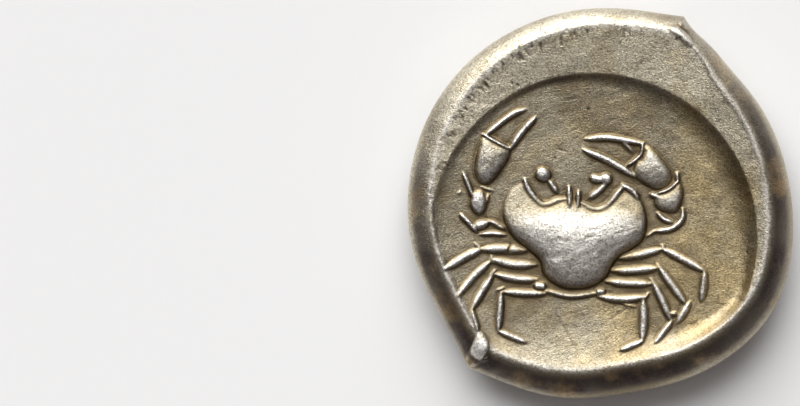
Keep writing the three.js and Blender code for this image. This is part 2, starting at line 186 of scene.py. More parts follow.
class Die:
    """One figure's sheet of heights. The centre and the size are in millimetres, and depth scales it all."""

    def __init__(self, centre, size, depth=1.0):
        self.centre = centre
        self.depth = depth
        self.unit = size / 100
        self.sheet = np.zeros((len(die_line), len(die_line)))

    def patch(self, line, margin):
        """The part of the sheet round a line: its slice, and its points in the figure's own grid."""
        spans = []
        for side in (1, 0):
            low = (line[:, side].min() - margin) * self.unit + self.centre[side]
            high = (line[:, side].max() + margin) * self.unit + self.centre[side]
            first = max(int((low + DIE_HALF) / DIE_STEP), 0)
            last = min(int((high + DIE_HALF) / DIE_STEP) + 2, len(die_line))
            spans.append(slice(first, last))
        x = (die_line[spans[1]] - self.centre[0]) / self.unit
        y = (die_line[spans[0]] - self.centre[1]) / self.unit
        return tuple(spans), *np.meshgrid(x, y)

    @staticmethod
    def nearest(x, y, line):
        """Distance from each point to the line, and how far along the line its nearest place is."""
        steps = np.diff(line, axis=0)
        lengths = np.maximum(np.hypot(*steps.T), 1e-9)
        run = np.concatenate([[0], np.cumsum(lengths)])
        distance = np.full(x.shape, 1e9)
        along = np.zeros(x.shape)
        for k, (dx, dy) in enumerate(steps):
            rx, ry = x - line[k, 0], y - line[k, 1]
            t = np.clip((rx * dx + ry * dy) / lengths[k] ** 2, 0, 1)
            d = np.hypot(rx - t * dx, ry - t * dy)
            near = d < distance
            distance[near] = d[near]
            along[near] = (run[k] + t[near] * lengths[k]) / run[-1]
        return distance, along

    def ridge(self, points, width, height, ends=(0, 0), fullness=0.6, taper=0.3):
        """A raised rib along points. Width and height may be given for each point.

        Ends are the shares of its breadth left at its two ends, and each end takes a taper's share of its
        length. Fullness 1 makes its section a parabola, and less makes it blunter.
        """
        line, stations = curve_through(points)
        spot, x, y = self.patch(line, np.max(width))
        distance, along = self.nearest(x, y, line)
        swell = 1 - (1 - ends[0]) * np.clip(1 - along / taper, 0, 1) ** 2
        swell = swell * (1 - (1 - ends[1]) * np.clip(1 - (1 - along) / taper, 0, 1) ** 2)
        half = np.interp(along, stations, np.broadcast_to(width, stations.shape)) / 2 * swell
        top = np.interp(along, stations, np.broadcast_to(height, stations.shape)) * np.sqrt(swell)
        inside = np.clip(1 - (distance / np.maximum(half, 1e-6)) ** 2, 0, 1) ** fullness
        self.sheet[spot] = np.maximum(self.sheet[spot], self.depth * top * inside)

    def pillow(self, outline, height, fullness=0.5, tilt=0.0, fold=(0, 0)):
        """A raised area with a skin blown up like a cushion's. Its greatest height is given.

        Fullness under 0.5 gives it a flatter top. Above a fold at y, bent by x squared, it tilts down.
        """
        line, _ = curve_through(outline, closed=True)
        spot, x, y = self.patch(line, 1)
        inside = np.zeros(x.shape, bool)
        for (x0, y0), (x1, y1) in zip(line[:-1], line[1:]):
            if y0 != y1:
                crosses = (y0 > y) != (y1 > y)
                inside ^= crosses & (x < x0 + (y - y0) * (x1 - x0) / (y1 - y0))
        # The skin settles like a soap film under pressure. Its points take turns, as on a chessboard.
        skin = np.zeros(x.shape)
        j, i = np.indices(x.shape)
        turns = [inside & ((i + j) % 2 == k) for k in (0, 1)]
        stretch = 2 / (1 + math.sin(math.pi / min(x.shape)))
        for _ in range(3 * max(x.shape)):
            for turn in turns:
                around = np.zeros(x.shape)
                around[1:-1, 1:-1] = skin[2:, 1:-1] + skin[:-2, 1:-1] + skin[1:-1, 2:] + skin[1:-1, :-2]
                skin[turn] += stretch * ((around[turn] + 1) / 4 - skin[turn])
        top = self.depth * height * (skin / skin.max()) ** fullness
        if tilt:
            top = top * (1 - tilt * np.logaddexp(0, y - fold[0] - fold[1] * x * x))
        self.sheet[spot] = np.where(inside, np.maximum(self.sheet[spot], top), self.sheet[spot])

    def cut(self, points, width, depth):
        """A groove along points, which fades out at its ends."""
        line, _ = curve_through(points)
        spot, x, y = self.patch(line, 2 * width)
        distance, along = self.nearest(x, y, line)
        fade = np.clip(np.minimum(along, 1 - along) / CUT_FADE, 0, 1)
        self.sheet[spot] -= self.depth * depth * np.exp(-((distance / width) ** 2)) * fade


# The crab, cut in the round punch: a shore crab seen from above, with its claws raised.
# It is crisp, so every joint of its legs shows, and its shell is the highest thing on this side.
# A stroke in its lists has the points, width, height, ends and fullness of a rib, and a line those of a cut.
crab = Die(centre=(-1.31, -1.82), size=13.9, depth=0.64)
SHELL_RELIEF = 0.98
SHELL_FULLNESS = 0.4
SHELL_TILT = 0.042
SHELL_FOLD = (3.4, 0.001)
FRONT_RIM_FULLNESS = 0.7
CLAW_RELIEF = 0.5
CLAW_FULLNESS = 0.52
WRIST_RELIEF = 0.36
LEG_RELIEF = 0.24
LEG_SPREAD = 1.26
LEG_FORM = {"ends": (0.3, 0.3), "fullness": 0.9, "taper": 0.35}
SPUR_WIDTH = 1.1
SPUR_RELIEF = 0.17
SPUR_ENDS = (0.3, 0.3)

# Each part of a leg: its joints, then the width of its lit top. Its foot is wider by LEG_SPREAD.
LEG_PARTS = [
    ([(-19, -4.1), (-28, -3.4), (-36.4, -3.6)], 3.1),
    ([(-35.6, -3.2), (-42, -6.2), (-50.4, -11.2)], 2.9),
    ([(-15.2, -9.6), (-24, -9.4), (-32.9, -7.4)], 2.9),
    ([(-32.6, -8), (-39.6, -14.4), (-45.4, -21.5)], 2.6),
    ([(-14.6, -15.3), (-23, -15), (-31.2, -13.2)], 2.6),
    ([(-31.8, -13.4), (-36, -19.6), (-40, -26.8)], 2.6),
    ([(-40, -26.6), (-37.4, -35.6)], 1.4),
    ([(-11.4, -20.7), (-20, -20.5), (-28.4, -20)], 2.5),
    ([(-28.6, -19.4), (-29.2, -28), (-29.9, -35.6)], 2.4),
    ([(-30, -35), (-19, -39.6)], 2.0),
    ([(16.2, -7.2), (25, -5.6), (33.6, -3.5)], 2.7),
    ([(33.2, -3.2), (42, -7.6), (50.2, -12.2)], 2.6),
    ([(49.9, -11.8), (49.6, -17), (48.6, -23.6)], 2.4),
    ([(13.8, -11.8), (22, -11.8), (31.9, -10.8)], 2.9),
    ([(31.9, -9.8), (37, -17), (43, -25)], 2.7),
    ([(44.2, -24), (39.2, -32.1)], 2.4),
    ([(11.6, -15.9), (20, -16.7), (29.4, -16.9)], 2.8),
    ([(29.7, -15.7), (33.4, -23), (37, -31.4)], 2.7),
    ([(37.6, -31), (30.6, -39.8)], 1.9),
    ([(8.6, -21.7), (18, -22.9), (27.6, -21.9)], 2.6),
    ([(26.2, -22.2), (26.4, -31), (25.8, -39.2)], 3.0),
    ([(26.4, -38.7), (17, -42.6)], 2.2),
]
KNEE_SPURS = [
    [(-39, -1.2), (-35.6, -4.4)],
    [(-32.6, -5.8), (-31.6, -9.4)],
    [(-31, -11.6), (-33.6, -14.6)],
    [(-30.6, -19.4), (-27.2, -18.4)],
    [(33.6, -1.6), (34.4, -4.8)],
    [(31.4, -9), (33.2, -12)],
    [(29, -14.8), (30.6, -17.6)],
    [(28.4, -20.4), (26.2, -23.4)],
]
LEG_NOTCH = ([(-24.6, -1.6), (-26.4, -5.2)], 0.5, 0.16)


def cut_crab_legs():
    for joints, width in LEG_PARTS:
        crab.ridge(joints, LEG_SPREAD * width, LEG_RELIEF, **LEG_FORM)
    for spur in KNEE_SPURS:
        crab.ridge(spur, SPUR_WIDTH, SPUR_RELIEF, SPUR_ENDS)
    crab.cut(*LEG_NOTCH)


SHELL_OUTLINE = [
    (-19.6, 22), (-17.9, 18.6), (-12.6, 13.1), (-7, 14.7), (-3.4, 15.6), (0, 14.6), (3, 13.4),
    (7.2, 11.2), (12.2, 12.6), (17, 18.4), (18.8, 20), (24.6, 16.4), (27.2, 9.7), (27.2, 4.6),
    (25, -0.8), (17.6, -5.8), (14.2, -9.6), (12.3, -13.6), (7.4, -17.3), (0.4, -18.8), (-6.6, -17.6),
    (-12.2, -13), (-13.6, -7.8), (-18.6, -3.2), (-24.4, 1.9), (-27.6, 8.5), (-27.2, 14.4), (-24, 20),
]
FRONT_RIMS = [
    ([(-19.6, 23.4), (-17.7, 18.9), (-12.7, 13.6), (-7, 15.2), (-3.2, 16)], 3.0, 0.29, (0.5, 0.5)),
    ([(2.2, 14.4), (7.2, 11.8), (12, 13), (16.8, 18.6), (18.4, 20.8)], 3.0, 0.29, (0.5, 0.5)),
    ([(18.3, 21.2), (22.4, 18.6), (24.6, 15)], 2.6, 0.31, (0.6, 0.2)),
]
SHELL_LINES = [
    ([(-14, -8), (-10.6, -6.4), (-5, -6.8)], 1.2, 0.03),
    ([(9.1, -7.2), (12, -5.4), (14.9, -2.9)], 1.6, 0.05),
    ([(3.4, 0.7), (6.4, 1), (9.1, 2.1)], 0.5, 0.035),
    ([(5.5, 3.5), (7, 4.6)], 0.5, 0.03),
    ([(-7.4, 1.4), (-4.8, -0.4), (-2.4, -0.8)], 0.6, 0.025),
    ([(-18, 3.2), (-15.4, 1.2)], 0.5, 0.025),
    ([(14.6, 1.8), (18.2, 3.4)], 0.5, 0.025),
    ([(-6.5, 7.3), (-6.1, 7.3)], 0.4, 0.06),
]
HORNS = [
    ([(-2.5, 20.8), (-2.2, 10.4)], 2.4, 0.44, (0.3, 0.3), 0.9),
    ([(1.2, 19), (0.9, 11.6)], 2.0, 0.42, (0.3, 0.3), 0.9),
]
BAR_AND_KNOBS_BELOW_THE_SHELL = [
    ([(-11.6, -19.6), (-1.5, -21.7), (8.6, -20.4)], 2.0, 0.2, (0.6, 0.6)),
    ([(-14.6, -17.7), (-12.8, -17.9)], 3.2, 0.3, (1, 1)),
    ([(8.9, -20.1), (10.4, -20)], 2.6, 0.26, (1, 1)),
    ([(37.6, -28.4), (38.6, -28.4)], 1.8, 0.2, (1, 1)),
    ([(17.8, -24.6), (23.4, -25.8)], 1.0, 0.1),
]
EYES = [
    ([(-12.7, 25.5), (-12.3, 25.3)], 5.6, 0.46, (1, 1), 0.5),
    ([(-10.4, 23.2), (-8.6, 20.8), (-7, 18.2)], 2.2, 0.24, (0.5, 0.3)),
    ([(7.3, 23.8), (9, 23.4)], 3.4, 0.34, (1, 1)),
    ([(11.5, 23.7), (12, 23.5)], 4.4, 0.42, (1, 1), 0.5),
    ([(12, 22.2), (9.6, 19.6), (5.4, 16.2)], 2.6, 0.28, (0.8, 0.3)),
]


def cut_crab_shell():
    crab.pillow(SHELL_OUTLINE, SHELL_RELIEF, SHELL_FULLNESS, SHELL_TILT, SHELL_FOLD)
    for rim in FRONT_RIMS:
        crab.ridge(*rim, FRONT_RIM_FULLNESS)
    for line in SHELL_LINES:
        crab.cut(*line)
    for stroke in HORNS + BAR_AND_KNOBS_BELOW_THE_SHELL:
        crab.ridge(*stroke)


LEFT_CLAW = {
    "palm": [
        (-35.2, 40.2), (-30.2, 37.2), (-25.4, 34.8), (-26.2, 31), (-28.9, 26.9), (-33, 22.2),
        (-36.6, 22), (-38.4, 25.2), (-38.7, 29.4), (-37.4, 35.4),
    ],
    "fingers": [
        ([(-35.6, 40.8), (-30.2, 37.7), (-25.2, 35.2)], 1.7, 0.4, (0.5, 0.5)),
        ([(-35, 40.4), (-28.2, 45.9), (-23.3, 49.2), (-18.8, 50.6)], 2.3, 0.3, (0.5, 0.2)),
        ([(-25.4, 35.2), (-20.5, 42), (-15, 47.9)], 2.5, 0.3, (0.5, 0.1)),
    ],
    "palm_line": ([(-37.4, 26.4), (-35.4, 29.2), (-32.6, 30)], 0.6, 0.035),
    "wrist": [(-39.6, 18.2), (-36.4, 19.2), (-34.4, 16), (-35.2, 11), (-38, 9.9), (-40.6, 13.6)],
    "arm": [
        ([(-39.8, 17.4), (-41.4, 21.6), (-43.4, 26.2)], 1.9, 0.28, (0.9, 0.1)),
        ([(-36.6, 20.7), (-31.8, 18.9)], 1.0, 0.14, (0.4, 0.4)),
        ([(-33.6, 17.9), (-34.2, 14.4)], 1.1, 0.16, (0.3, 0.3)),
        ([(-44.6, 10.2), (-41, 6.6), (-38, 3)], 2.1, 0.24, (0.3, 0.3)),
        ([(-37.4, 5.6), (-34.8, 6.4)], 3.6, 0.32, (1, 0.8)),
        ([(-33.6, 7.4), (-30.6, 6.2), (-27, 4)], 1.8, 0.22, (0.6, 0.1)),
        ([(-37.2, 2.2), (-32, 2.6), (-26.6, 1.9)], 1.9, 0.22, (0.2, 0.1)),
        ([(-45.6, 17.6), (-44.2, 19)], 1.2, 0.12, (0.5, 0.5)),
    ],
}
RIGHT_CLAW = {
    "palm": [
        (26.8, 36.9), (32.1, 32.8), (36.5, 26.8), (36.8, 23), (34, 19.9), (29, 20.4),
        (22.6, 25), (22.9, 28.6), (25.4, 32.6),
    ],
    "fingers": [
        ([(3.2, 39), (12, 39.6), (19.4, 38.5), (26.2, 37.2)], 2.5, 0.3, (0.1, 0.5)),
        ([(17.9, 38.4), (22.4, 34.1)], 1.6, 0.24, (0.4, 0.4)),
        ([(2.4, 35.2), (13.2, 30.5), (23, 24.6)], 2.8, 0.32, (0.1, 0.5)),
        ([(26, 37.2), (25.5, 33.5), (23.2, 31), (19.6, 28.6)], 1.5, 0.36, (0.6, 0.3)),
    ],
    "palm_line": ([(27, 35.4), (26.6, 32.6), (24.6, 30)], 0.7, 0.12),
    "wrist": [
        (39.8, 22.6), (41.5, 17.3), (38.9, 11), (32.6, 11.8), (30.6, 14.6), (31.4, 17.6),
        (35.6, 18.6),
    ],
    "arm": [
        ([(39.2, 26.4), (39.6, 22.6)], 1.5, 0.26, (0.1, 0.8)),
        ([(39.8, 22.8), (36, 19.6), (31.4, 18)], 1.5, 0.42, (0.5, 0.5)),
        ([(28.6, 17.9), (31.4, 16.8), (34, 15)], 2.2, 0.3, (0.1, 0.6)),
        ([(31.6, 10.6), (34.4, 8), (38, 6.8)], 2.0, 0.26, (0.3, 0.3)),
        ([(41.4, 12.6), (41.2, 8), (37, 4.4), (30.6, 3.4)], 2.2, 0.26, (0.2, 0.3)),
        ([(31, 3.8), (27.4, 1.2)], 1.1, 0.16, (0.5, 0.1)),
    ],
}


def cut_claw(claw):
    crab.pillow(claw["palm"], CLAW_RELIEF, CLAW_FULLNESS)
    for stroke in claw["fingers"]:
        crab.ridge(*stroke)
    crab.cut(*claw["palm_line"])
    crab.pillow(claw["wrist"], WRIST_RELIEF)
    for stroke in claw["arm"]:
        crab.ridge(*stroke)


cut_crab_shell()
cut_crab_legs()
for stroke in EYES:
    crab.ridge(*stroke)
cut_claw(LEFT_CLAW)
cut_claw(RIGHT_CLAW)


# The cock, cut in the lower die: it stands to the left, its head run off the edge of the coin.
# Long use has rubbed it down, so its highest places end on one plane, and the coin rests on them.
cock = Die(centre=(-1.88, -0.89), size=16.4)
DIE_TURN = 80
WORN_TO = 0.7
WORN_SOFTNESS = 0.05
COCK_BLUNTING = 0.17
GROOVE_BLUNTING = 0.05

# Outlines of the cock's plates of relief, each laid over the one before.
BODY_OUTLINE = [
    (-32.5, 24.6), (-35.4, 18.1), (-37.1, 11.5), (-36.4, 6.2), (-33.8, 1.0), (-29.5, -4.3),
    (-21.3, -12.1), (-11.5, -21.3), (-2.3, -20.0), (4.3, -8.2), (13.1, -4.9), (18.7, -2.3),
    (20.0, 4.3), (18.7, 9.9), (13.8, 12.8), (8.2, 12.2), (2.3, 7.2), (-4.9, 13.8), (-11.1, 20.4),
    (-15.4, 24.6), (-22.0, 27.9), (-27.9, 28.6),
]
NECK_OUTLINE = [
    (-26.3, 53.8), (-23.3, 52.2), (-20.3, 45.6), (-18.0, 39.4), (-16.4, 33.2), (-14.4, 24.6),
    (-14.1, 15.8), (-20.0, 15.4), (-25.3, 16.8), (-32.5, 18.7), (-34.1, 22.0), (-32.2, 25.3),
    (-28.9, 29.9), (-25.3, 37.1), (-24.9, 40.4), (-26.2, 45.0), (-28.9, 48.3),
]
WING_OUTLINE = [
    (-27.9, 9.5), (-23.9, 11.5), (-18.0, 9.5), (-11.5, 4.0), (-4.9, -0.3), (1.0, -5.2),
    (8.9, -14.4), (17.4, -21.6), (21.7, -25.9), (20.4, -30.5), (16.1, -36.1), (12.8, -39.4),
    (9.5, -38.1), (1.7, -31.8), (-8.2, -23.6), (-18.0, -14.1), (-25.3, -4.9), (-29.2, 3.0),
]
SADDLE_OUTLINE = [
    (2.3, 11.5), (6.9, 13.1), (13.1, 13.1), (16.1, 9.5), (18.7, 4.3), (16.7, -1.0), (11.5, -2.6),
    (6.2, 0.7), (2.6, 6.2),
]
TAIL_OUTLINE = [
    (13.5, 11.5), (16.4, 16.1), (24.0, 22.7), (32.5, 25.3), (41.0, 26.3), (47.6, 25.9),
    (44.3, 22.7), (42.7, 17.4), (43.3, 11.5), (44.3, 5.6), (44.6, -0.3), (42.3, -5.6), (37.8, -9.5),
    (34.5, -12.8), (31.8, -15.4), (26.9, -13.4), (22.7, -10.5), (18.7, -6.9), (15.4, -1.6),
    (13.5, 4.3),
]


PLATES = [
    (BODY_OUTLINE, 0.6, 0.8),
    (NECK_OUTLINE, 0.8, 0.72),
    (SADDLE_OUTLINE, 0.78, 0.7),
    (TAIL_OUTLINE, 0.7, 0.7),
    (WING_OUTLINE, 0.86, 0.6),
]
HACKLE_AND_BACK = [
    ([(-17.7, 39.1), (-15.4, 30.5), (-12.8, 22.0), (-11.5, 17.4)], [1.6, 2.4, 3.4, 3.4], 0.54, (0.4, 0.5)),
    ([(-12.8, 18.0), (-5.6, 12.0), (2.3, 5.2)], 9, 0.68, (0.5, 0.4), 0.9),
]
TOP_PLUME = [
    ([(14.8, 12.8), (24.0, 19.7), (33.2, 22.7), (43.7, 23.3)], [4, 7, 7, 5], 0.7, (0.5, 0.5), 1),
    ([(39.1, 22.7), (41.7, 20.7), (42.3, 18.1)], 5, 0.72, (0.6, 0.5), 0.8),
]
LEGS_AND_FEET = [
    ([(-16.1, -18.0), (-14.8, -27.2), (-12.5, -36.4)], [8, 6, 3], 0.13, (0.6, 0.6), 0.8),
    ([(-7.5, -24.6), (-4.9, -31.8), (-2.9, -39.4)], [8, 6, 3], 0.12, (0.6, 0.5), 0.8),
    ([(-11.5, -36.1), (-13.4, -43.3)], 2.0, 0.13, (0.5, 0.4)),
    ([(-2.6, -34.4), (-4.3, -43.6)], 2.0, 0.13, (0.5, 0.5)),
    ([(-5.6, -43.0), (-2.0, -42.7)], 1.3, 0.14, (0.5, 0.3)),
]
BEAK = [
    ([(-26.6, 52.9), (-29.2, 49.2), (-32.5, 45.6), (-35.1, 42.0)], 3.0, 0.13, (0.6, 0.4), 1),
    ([(-35.4, 41.7), (-33.8, 40.7), (-32.2, 42.3)], 1.3, 0.16, (0.5, 0.5)),
]
LAST_OF_THE_INSCRIPTION = [
    ([(-44.6, 19.8), (-42.8, 19.4)], 1.5, 0.14, (0.5, 0.5)),
    ([(-45.4, 17.2), (-43.6, 16.6)], 1.5, 0.14, (0.5, 0.5)),
    ([(-46.4, 11.6), (-44.6, 9.6)], 1.5, 0.14, (0.5, 0.5)),
]
NECK_LINES = [
    ([(-33.1, 19.0), (-27.2, 17.1), (-20.7, 15.1), (-14.1, 14.5)], 1.5, 0.15),
    ([(-17.7, 37.8), (-15.7, 28.6), (-14.4, 17.4)], 0.6, 0.16),
    ([(-25.9, 48.9), (-25.3, 46.3), (-23.0, 44.6)], 0.7, 0.12),
    ([(-29.2, 14.1), (-31.2, 8.2), (-28.5, 1.0)], 1.6, 0.08),
]
WING_LINES = [
    ([(-14.8, -1.6), (-9.5, -8.8), (-1.0, -18.4), (6.2, -26.6), (15.4, -36.4)], 0.75, 0.2),
    ([(-6.9, -2.9), (-2.3, -9.5), (3.6, -17.7), (10.2, -25.9), (16.7, -31.8)], 0.75, 0.2),
    ([(-10.8, -4.3), (-4.9, -12.1), (2.3, -21.3), (10.8, -31.8)], 0.6, 0.12),
    ([(-0.6, -5.9), (4.3, -12.1), (10.8, -20.0), (18.7, -27.2)], 0.6, 0.14),
    ([(-20.0, -4.9), (-13.4, -12.8), (-4.9, -21.3), (4.3, -29.9), (11.5, -35.8)], 0.8, 0.12),
    ([(-23.3, 4.3), (-21.3, 1.0), (-22.6, -2.3)], 0.6, 0.05),
    ([(-20.0, 6.2), (-17.4, 2.3), (-18.0, -1.6)], 0.6, 0.05),
    ([(-25.3, -3.6), (-20.0, -4.9), (-14.8, -2.3), (-11.5, 0.3)], 1.6, 0.06),
]
SADDLE_AND_LEG_LINES = [
    ([(13.5, 12.2), (12.5, 8.2), (13.5, 3.6), (15.4, -0.3)], 0.8, 0.14),
    ([(-15.4, -21.3), (-14.4, -28.5), (-12.8, -35.8)], 0.5, 0.1),
    ([(-9.5, -25.3), (-7.5, -31.8), (-5.6, -39.0)], 0.5, 0.1),
]

# The slits between the tail's plumes, each with its depth.
SLIT_WIDTH = 0.9
TAIL_SLITS = [
    ([(25.0, 18.7), (29.9, 14.8), (35.1, 13.1)], 0.3),
    ([(20.0, 15.8), (26.9, 12.2), (32.5, 9.5)], 0.32),
    ([(16.4, 13.1), (21.3, 10.2), (27.2, 8.5)], 0.3),
    ([(19.0, 5.9), (25.6, 6.2), (29.9, 4.6), (34.8, 5.9), (44.0, 4.3)], 0.32),
    ([(22.0, 1.0), (26.9, 1.3), (32.5, -1.3), (37.4, 0.3), (44.6, 0.0)], 0.3),
    ([(20.0, -3.3), (25.6, -3.9), (32.5, -5.9), (37.4, -7.5), (41.7, -6.2)], 0.3),
    ([(18.4, -7.2), (24.0, -8.8), (29.9, -11.1), (35.5, -12.1)], 0.3),
    ([(35.8, 13.1), (39.1, 11.8), (43.7, 12.8)], 0.2),
    ([(33.2, 9.2), (37.8, 8.5), (44.0, 8.5)], 0.14),
    ([(38.4, 18.7), (41.0, 17.4), (44.3, 17.7)], 0.22),
]

for plate in PLATES:
    cock.pillow(*plate)
for stroke in HACKLE_AND_BACK + TOP_PLUME:
    cock.ridge(*stroke)
cock.sheet = soften(cock.sheet, COCK_BLUNTING)
for stroke in LEGS_AND_FEET + BEAK + LAST_OF_THE_INSCRIPTION:
    cock.ridge(*stroke)
for line in NECK_LINES + WING_LINES + SADDLE_AND_LEG_LINES:
    cock.cut(*line)
for slit, depth in TAIL_SLITS:
    cock.cut(slit, SLIT_WIDTH, depth)


# The strike and two thousand years: metal that didn't quite fill the dies, hammered unevenness,
# flow cracks on the rim, and the nicks and scratches of use.
chance = np.random.default_rng(27)

# Marks on the rim and the crab's field, with their places in millimetres from the flan's axis.
rim_marks = Die(centre=(0, 0), size=100)
STUB_FACET = [(-6.43, -6.7), (-6.78, -7.34), (-6.88, -7.9), (-6.45, -8.2), (-6.08, -7.8), (-6.0, -7.3)]
FACET_RELIEF = 0.7
FACET_FULLNESS = 0.14
FACET_TILT = 0.6
FACET_FOLD = (-8, 0)
FACET_BLUNTING = 0.05
STUB_RIDGES = [
    ([(-6.7, -7.4), (-6.85, -7.8), (-7.1, -8.2)], 0.3, 0.2),
    ([(-6.9, -8.6), (-6.45, -8.3), (-6.1, -8.2)], 0.3, 0.16),
    ([(-5.75, -7.95), (-5.45, -7.95)], 0.5, 0.05),
    ([(3.7, 9.55), (4.15, 9.4), (4.6, 9.0), (4.85, 8.7)], 0.5, 0.12),
    ([(4.3, 9.9), (4.8, 9.6)], 0.4, 0.08),
]
RIDGE_FORM = {"ends": (0.3, 0.6), "fullness": 0.8}
CREST_BURRS = [(8, 62), (172, 228)]
BURR_STEP = 4.0
BURR_WANDER = (0.04, 0.9)
BURR_SIZE = (0.46, 0.065)
BURR_FORM = {"ends": (0.2, 0.2), "fullness": 1}
NICKS = [
    ((-5.8, 7.3), (-5.7, 7.0)), ((-6.2, 6.7), (-5.9, 6.2)), ((-6.4, 6.4), (-6.2, 6.1)),
    ((-6.9, 6.4), (-6.8, 6.2)), ((-7.3, 5.3), (-7.1, 5.1)), ((-7.6, 5.1), (-7.3, 4.7)),
    ((-6.9, 5.1), (-6.8, 5.0)), ((-4.1, 8.5), (-3.7, 8.0)), ((-4.4, 8.6), (-4.3, 8.3)),
    ((-3.7, 8.8), (-3.6, 8.5)), ((-3.0, 9.4), (-2.9, 9.2)), ((-1.8, 9.6), (-1.8, 9.4)),
    ((-5.3, 7.8), (-5.1, 7.5)), ((-4.8, 8.2), (-4.6, 7.9)), ((-8.0, 4.0), (-7.7, 3.7)),
    ((4.2, 9.1), (4.4, 9.0)),
]
SCRATCHES = [
    ((-1.8, 5.7), (-1.2, 5.8)), ((-2.3, 3.1), (-1.7, 2.9)), ((-1.6, 4.0), (-1.1, 4.2)),
    ((0.5, 4.6), (0.9, 4.7)), ((-2.5, -5.4), (-1.2, -7.9)), ((1.6, -5.4), (0.4, -6.2)),
    ((1.3, 9.5), (1.3, 8.9)), ((5.6, 1.8), (5.7, 1.3)), ((0.6, -2.2), (1.4, -1.9)),
    ((0.9, -1.5), (1.9, -1.2)), ((-0.3, -1.3), (0.4, -1.0)),
]
PITS = [
    (4.1, 8.97), (4.7, 8.78), (4.75, 9.9), (-4.7, 6.6), (-4.4, 6.5),
    (-9.1, 0.7), (-9.1, 0.4), (-2.4, 2.6), (-0.6, 5.2), (7.9, -2.5),
]
# Widths and depths of the small cuts.
NICK_CUT = (0.05, 0.036)
SCRATCH_CUT = (0.045, 0.022)
PIT_CUT = (0.08, 0.05)
PIT_REACH = (0.05, 0.02)

# The flow cracks: how many, between which bearings, and the ranges of their place, length and depth.
CRACKS = 46
CRACK_BEARINGS = (78, 168)
CRACK_INSET = (0.1, 0.3)
CRACK_LENGTH = (0.15, 0.65)
CRACK_LEAN = 0.012
CRACK_WIDTH = 0.06
CRACK_DEPTH = (0.008, 0.03)
GRIME_AND_SHADE_SPREAD = 0.02


def crest_at(bearing):
    reach, _ = shoulder(bearing, 0, leaning(*RIM_SHOULDER, bearing), 0)
    return reach


rim_marks.pillow(STUB_FACET, FACET_RELIEF, FACET_FULLNESS, FACET_TILT, FACET_FOLD)
stub_facet = soften(rim_marks.sheet, FACET_BLUNTING)
for points, width, relief in STUB_RIDGES:
    rim_marks.ridge(points, width, relief, **RIDGE_FORM)
for first, last in CREST_BURRS:
    bearings = np.arange(first, last, BURR_STEP)
    reach = crest_at(bearings) + BURR_WANDER[0] * np.sin(bearings * BURR_WANDER[1])
    burr = reach * np.array([np.cos(np.radians(bearings)), np.sin(np.radians(bearings))])
    rim_marks.ridge(burr.T, *BURR_SIZE, **BURR_FORM)
marks_before = rim_marks.sheet.copy()
for _ in range(CRACKS):
    way = np.radians(chance.uniform(*CRACK_BEARINGS))
    reach = crest_at(np.degrees(way)) - chance.uniform(*CRACK_INSET)
    inner = reach - chance.uniform(*CRACK_LENGTH)
    lean = way + chance.normal(0, CRACK_LEAN)
    crack = [(reach * np.cos(way), reach * np.sin(way)), (inner * np.cos(lean), inner * np.sin(lean))]
    rim_marks.cut(crack, CRACK_WIDTH, chance.uniform(*CRACK_DEPTH))
for nick in NICKS:
    rim_marks.cut(nick, *NICK_CUT)
for scratch in SCRATCHES:
    rim_marks.cut(scratch, *SCRATCH_CUT)
for x, y in PITS:
    dx, dy = PIT_REACH
    rim_marks.cut([(x - dx, y - dy), (x, y), (x + dx, y + dy)], *PIT_CUT)
# Dirt and painted shade in the cracks, nicks, scratches and pits.
grime_and_shade = soften(marks_before - rim_marks.sheet, GRIME_AND_SHADE_SPREAD)

# The unevenness of each side, coarse to fine: the breadths and heights of its bumps. The shell has more of
# its own. Each side is sunk a little, so that its bumps keep to the coin's height.
CRAB_BUMPS = [(1.6, 0.016), (0.45, 0.008), (0.14, 0.0045)]
SHELL_BUMPS = [(0.24, 0.006), (0.08, 0.0035)]
SHELL_BUMPS_FROM = 0.3
COCK_BUMPS = [(2.2, 0.018), (0.6, 0.007), (0.18, 0.003)]
CRAB_SUNK = 0.035
COCK_SUNK = 0.02
CRAB_BLUNTING = 0.038
MARKS_BLUNTING = 0.03


def uneven(reach, depth):
    """A random sheet of soft bumps of one breadth, depth being their usual height."""
    sheet = soften(chance.standard_normal(crab.sheet.shape), reach)
    return sheet / sheet.std() * depth


def bumpy(sizes):
    """Random bumps of all the sizes given, one over the other."""
    return sum(uneven(*size) for size in sizes)


crab_relief = soften(crab.sheet, CRAB_BLUNTING) + soften(rim_marks.sheet, MARKS_BLUNTING)
cock_relief = soften(cock.sheet, GROOVE_BLUNTING)
cock_relief = -WORN_SOFTNESS * np.logaddexp(-cock_relief / WORN_SOFTNESS, -WORN_TO / WORN_SOFTNESS)
crab_uneven = bumpy(CRAB_BUMPS) - CRAB_SUNK
crab_uneven = crab_uneven + np.clip(crab.sheet / SHELL_BUMPS_FROM, 0, 1) * bumpy(SHELL_BUMPS)
cock_uneven = bumpy(COCK_BUMPS) - COCK_SUNK


def sample(sheet, x, y):
    """The sheet's height at points in millimetres from the flan's axis."""
    u = np.clip((x + DIE_HALF) / DIE_STEP, 0, len(die_line) - 2)
    v = np.clip((y + DIE_HALF) / DIE_STEP, 0, len(die_line) - 2)
    i, j = u.astype(int), v.astype(int)
    u, v = u - i, v - j
    low = sheet[j, i] * (1 - u) + sheet[j, i + 1] * u
    high = sheet[j + 1, i] * (1 - u) + sheet[j + 1, i + 1] * u
    return low * (1 - v) + high * v


# The struck coin: one closed skin. Each face is a square net of points, bent into a disc whose border is
# the coin's widest line, where the two faces share their points. The net's outer rows are the shoulder.
NET = 430
FACE_SHARE = 0.86
CREASE_ROUNDS = 2
MOST_TRIANGLES = 196000
INSIDE_BOX = 0.002

